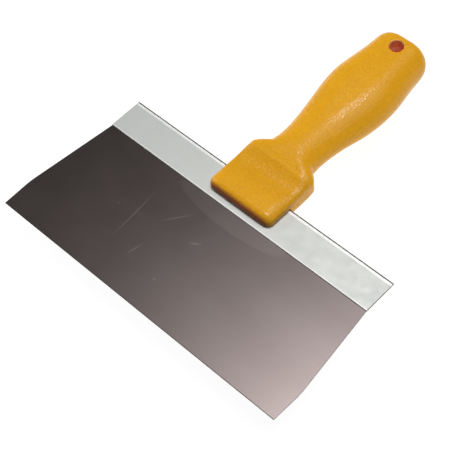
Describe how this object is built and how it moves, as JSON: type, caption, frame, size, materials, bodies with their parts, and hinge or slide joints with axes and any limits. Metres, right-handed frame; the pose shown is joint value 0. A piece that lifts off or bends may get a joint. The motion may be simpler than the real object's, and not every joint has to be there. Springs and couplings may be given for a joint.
{
  "type": "flexible putty knife",
  "caption": "Wide flexible putty knife: a blue spring-steel blade in a folded steel channel, with a moulded yellow handle and a hang hole.",
  "frame": {"origin": "middle of the bounding box, at its lowest point, under the handle's belly", "axes": "+Z is the front face's normal, +Y runs from the blade's working edge to the handle's butt, X is across the blade"},
  "size_m": [0.203, 0.2248, 0.0276],
  "materials": {
    "handle_plastic": "satin, finely textured",
    "channel_steel": "pale galvanised sheet",
    "blade_steel": "blued, polished spring steel",
    "screw_steel": "zinc plated"
  },
  "bodies": {
    "handle_assembly": {"handle": "handle_plastic", "backing_channel": "channel_steel", "fixing_screws": "screw_steel", "blade_heel": "blade_steel"},
    "blade": {"blade": "blade_steel"}
  },
  "joints": [
    {"name": "blade_flex", "type": "hinge", "parent": "handle_assembly", "child": "blade", "pos_m": [0, -0.04685, 0.0112], "axis": [1, 0, 0], "range_deg": [-20, 20], "stiffness_Nm_per_rad": 12.5}
  ]
}
